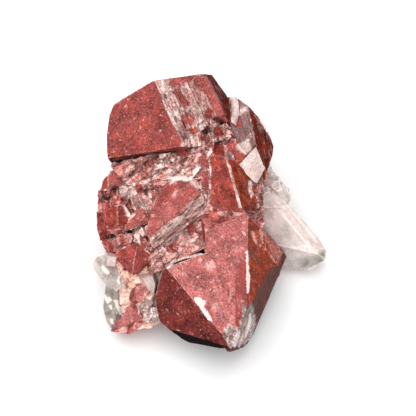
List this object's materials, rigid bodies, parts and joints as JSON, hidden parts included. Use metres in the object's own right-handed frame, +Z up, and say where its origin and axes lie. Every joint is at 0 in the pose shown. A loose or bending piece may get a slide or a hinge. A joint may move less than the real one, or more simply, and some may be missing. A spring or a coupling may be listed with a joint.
{
  "type": "red quartz crystal cluster",
  "caption": "Cluster of intergrown iron-red quartz crystals with clear quartz at its sides, cut off flat underneath to rest on.",
  "frame": {"origin": "on the flat cut underneath, below the middle of the cluster's outline", "axes": "+Z up from the flat cut; -Y towards the side the large lower crystal points to; +X to that viewer's right"},
  "size_m": [0.0589, 0.072, 0.0499],
  "materials": {
    "red_quartz": "satin crystal faces, hematite dusted, rough where broken",
    "clear_quartz": "clear to milky natural crystal"
  },
  "bodies": {
    "root": {"red_quartz_cluster": "red_quartz"}
  },
  "joints": []
}
